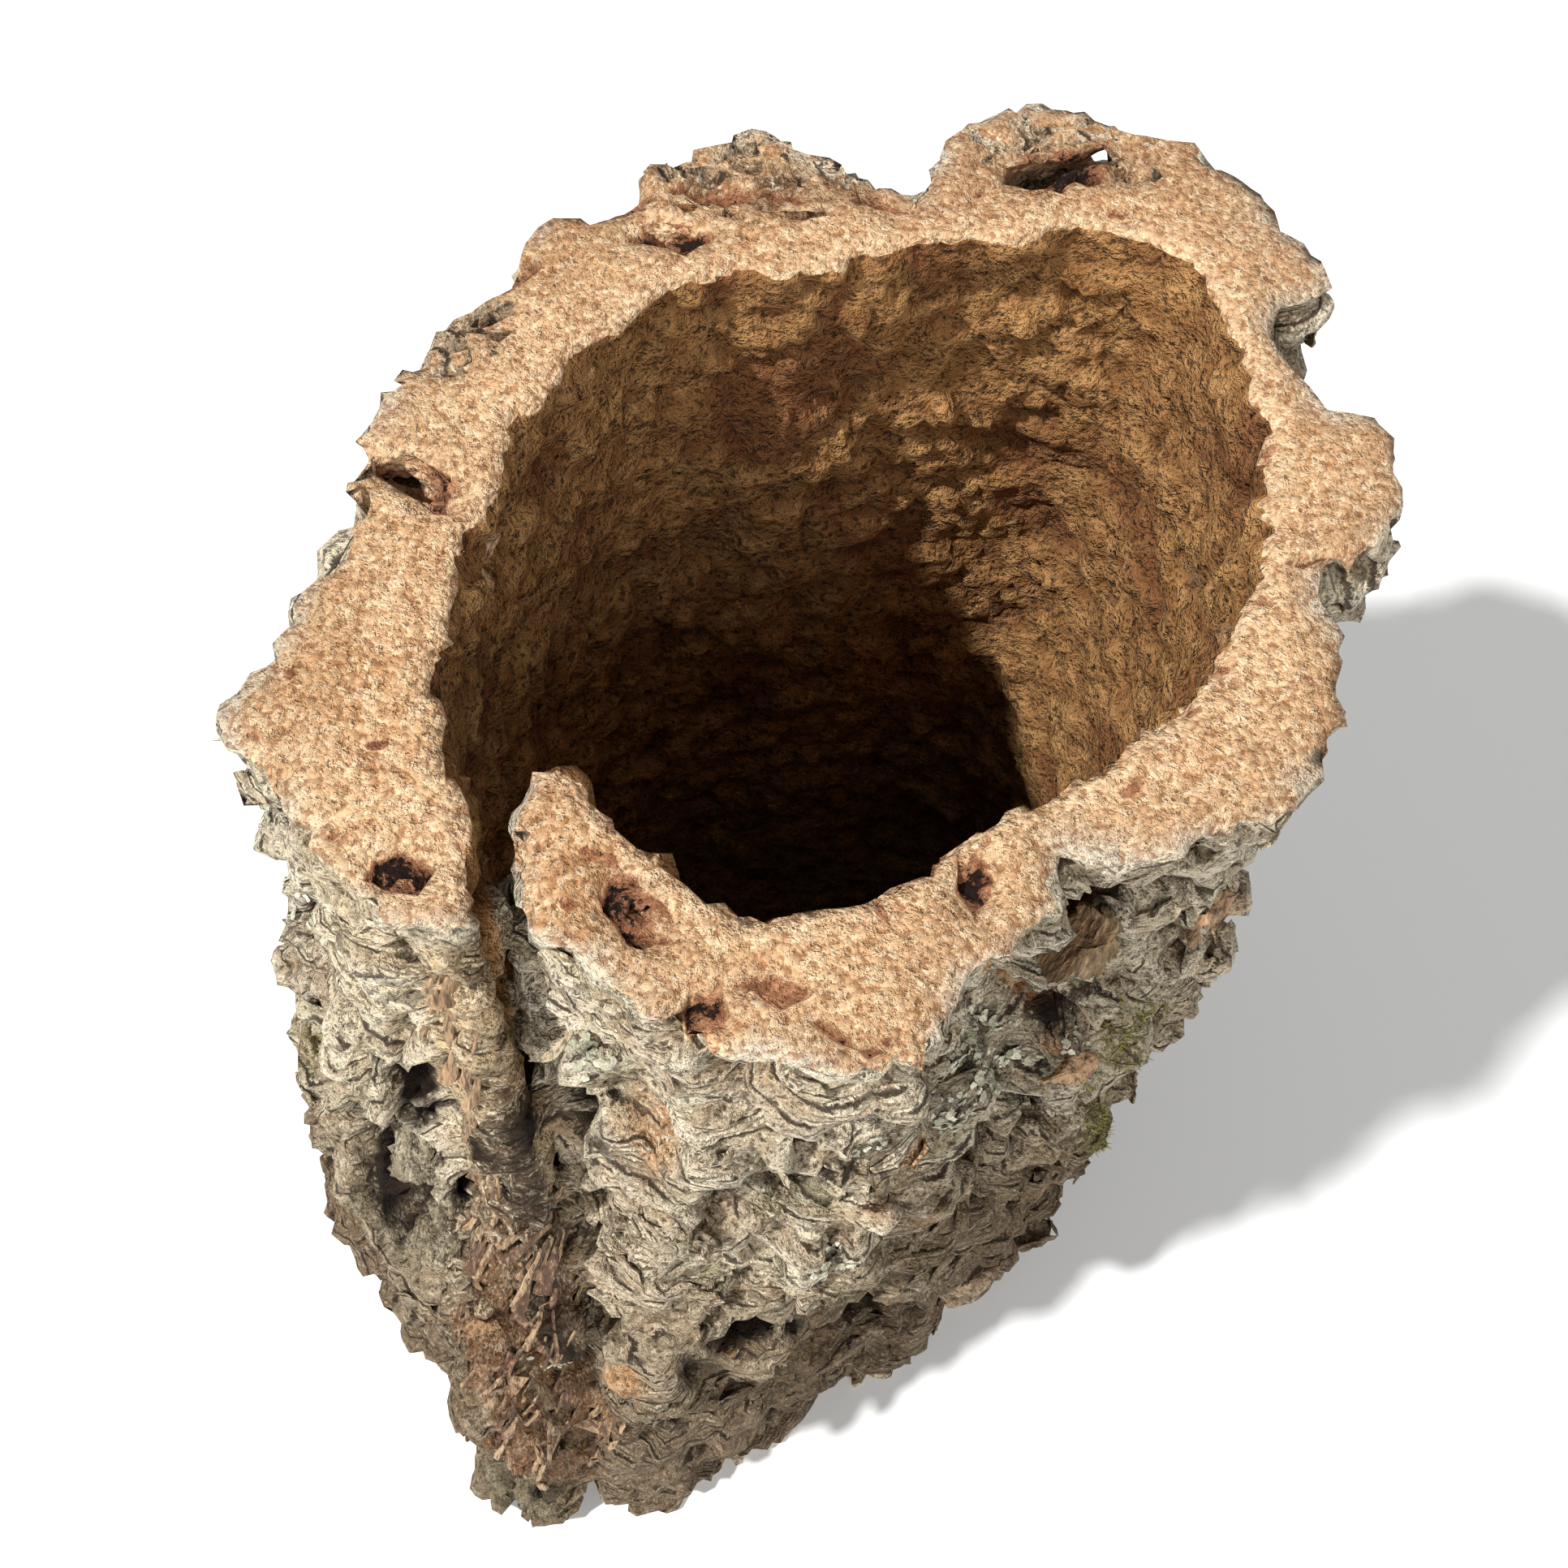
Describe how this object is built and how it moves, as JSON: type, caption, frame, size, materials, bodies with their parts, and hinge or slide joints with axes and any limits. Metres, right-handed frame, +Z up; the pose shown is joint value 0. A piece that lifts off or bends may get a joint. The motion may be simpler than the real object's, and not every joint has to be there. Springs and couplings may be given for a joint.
{
  "type": "cork bark tube",
  "caption": "Hollow cork branch: a rough-barked tube, split down one side and sawn flat at both ends, that stands upright as a hide or planter.",
  "frame": {"origin": "on the ground under the middle of the tube's bounding box", "axes": "+Z up along the tube, -Y towards the side that holds the split, +X to the right when facing the split"},
  "size_m": [0.2408, 0.2802, 0.35],
  "materials": {
    "cork_bark": "raw weathered cork bark, grey and rough outside, peach tan on the sawn faces, golden brown in the bore",
    "lichen": "dry pale grey-green lichen crust",
    "moss": "dry yellow-green moss"
  },
  "bodies": {
    "root": {"cork_tube": "cork_bark"}
  },
  "joints": []
}
